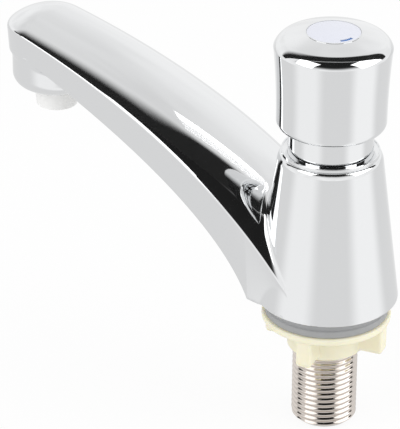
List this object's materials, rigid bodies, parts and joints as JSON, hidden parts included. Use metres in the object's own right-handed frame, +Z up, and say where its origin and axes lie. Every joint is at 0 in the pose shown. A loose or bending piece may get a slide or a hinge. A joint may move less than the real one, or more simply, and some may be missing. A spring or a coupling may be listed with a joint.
{
  "type": "push timed tap",
  "caption": "Chrome self-closing basin tap: tapered pillar with a rising spout, push button over a timed cartridge, aerator outlet, threaded tail with gasket and winged nut.",
  "frame": {"origin": "centre of the body's underside, on the deck plane", "axes": "+Z up along the pillar, +X from the pillar's axis towards the outlet, +Y to the spout's left seen along +X"},
  "size_m": [0.1498, 0.0456, 0.1362],
  "materials": {
    "chrome": "mirror polished chrome plate",
    "nickel": "nickel plated brass, turned",
    "brass": "machined brass",
    "steel": "stainless steel",
    "grey_rubber": "moulded grey rubber",
    "black_rubber": "nitrile rubber",
    "nut_nylon": "natural cream nylon",
    "white_plastic": "white acetal",
    "index_white": "gloss white plastic",
    "index_blue": "blue inlay",
    "fibre": "pressed red fibre"
  },
  "bodies": {
    "body": {"tap_body": "chrome", "collar_ring": "chrome", "neck_sleeve": "chrome", "threaded_shank": "nickel", "shank_seal": "fibre", "inlet_strainer": "white_plastic", "cartridge_housing": "brass", "lower_o_ring": "black_rubber", "upper_o_ring": "black_rubber", "seat_ring": "steel", "gland_o_ring": "black_rubber", "neck_gasket": "fibre", "spring_seat": "steel", "return_spring": "steel", "guide_bush": "white_plastic", "bush_circlip": "steel", "aerator_shell": "white_plastic", "aerator_seal": "black_rubber", "aerator_screen": "steel", "aerator_core": "white_plastic"},
    "button": {"button_cap": "chrome", "index_disc": "index_white", "index_mark": "index_blue", "cap_screw": "steel", "stem": "brass", "piston": "white_plastic", "piston_cup": "black_rubber", "piston_clip": "steel", "timing_screw": "steel", "valve_washer": "black_rubber", "washer_cup": "brass", "washer_screw": "steel"},
    "gasket": {"base_gasket": "grey_rubber"},
    "nut": {"fixing_nut": "nut_nylon"}
  },
  "joints": [
    {"name": "button_push", "type": "slide", "parent": "body", "child": "button", "axis": [0, 0, -1], "range_m": [0, 0.0064], "stiffness_N_per_m": 2000, "springref_m": -0.01, "deforming": ["return_spring"]},
    {"name": "nut_turn", "type": "hinge", "parent": "gasket", "child": "nut", "pos_m": [0, 0, -0.012], "axis": [0, 0, 1], "range_deg": [-3960, 0]},
    {"name": "gasket_slide", "type": "slide", "parent": "body", "child": "gasket", "axis": [0, 0, 1], "range_m": [-0.02, 0]}
  ],
  "couplings": [
    {"joint": "gasket_slide", "follows": "nut_turn", "m_per_rad": 0.00028871}
  ]
}
